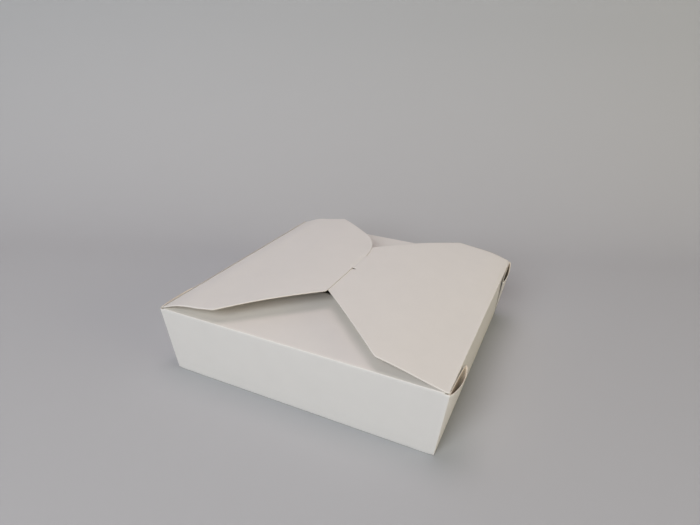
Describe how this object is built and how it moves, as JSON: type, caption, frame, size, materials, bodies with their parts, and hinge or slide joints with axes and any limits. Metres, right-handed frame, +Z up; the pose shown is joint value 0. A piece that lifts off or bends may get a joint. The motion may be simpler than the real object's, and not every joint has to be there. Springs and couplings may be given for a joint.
{
  "type": "takeout food box",
  "caption": "Shallow folded paperboard takeout box with outward-leaning walls, corner webs and a tab-locked top of two arched flaps.",
  "frame": {"origin": "middle of the underside, on the surface the box stands on", "axes": "+X from the left end wall to the right one, +Y from the front wall to the back wall, +Z up"},
  "size_m": [0.2052, 0.198, 0.0647],
  "materials": {
    "paperboard": "matte coated white board, faint fibre mottle",
    "flap_paperboard": "matte coated white board, faint fibre mottle"
  },
  "bodies": {
    "carton": {"carton": "paperboard"},
    "left_flap": {"left_flap": "flap_paperboard"}
  },
  "joints": [
    {"name": "left_flap_fold", "type": "hinge", "parent": "carton", "child": "left_flap", "pos_m": [-0.1, 0, 0.0505], "axis": [0, -1, 0], "range_deg": [0, 160]}
  ]
}
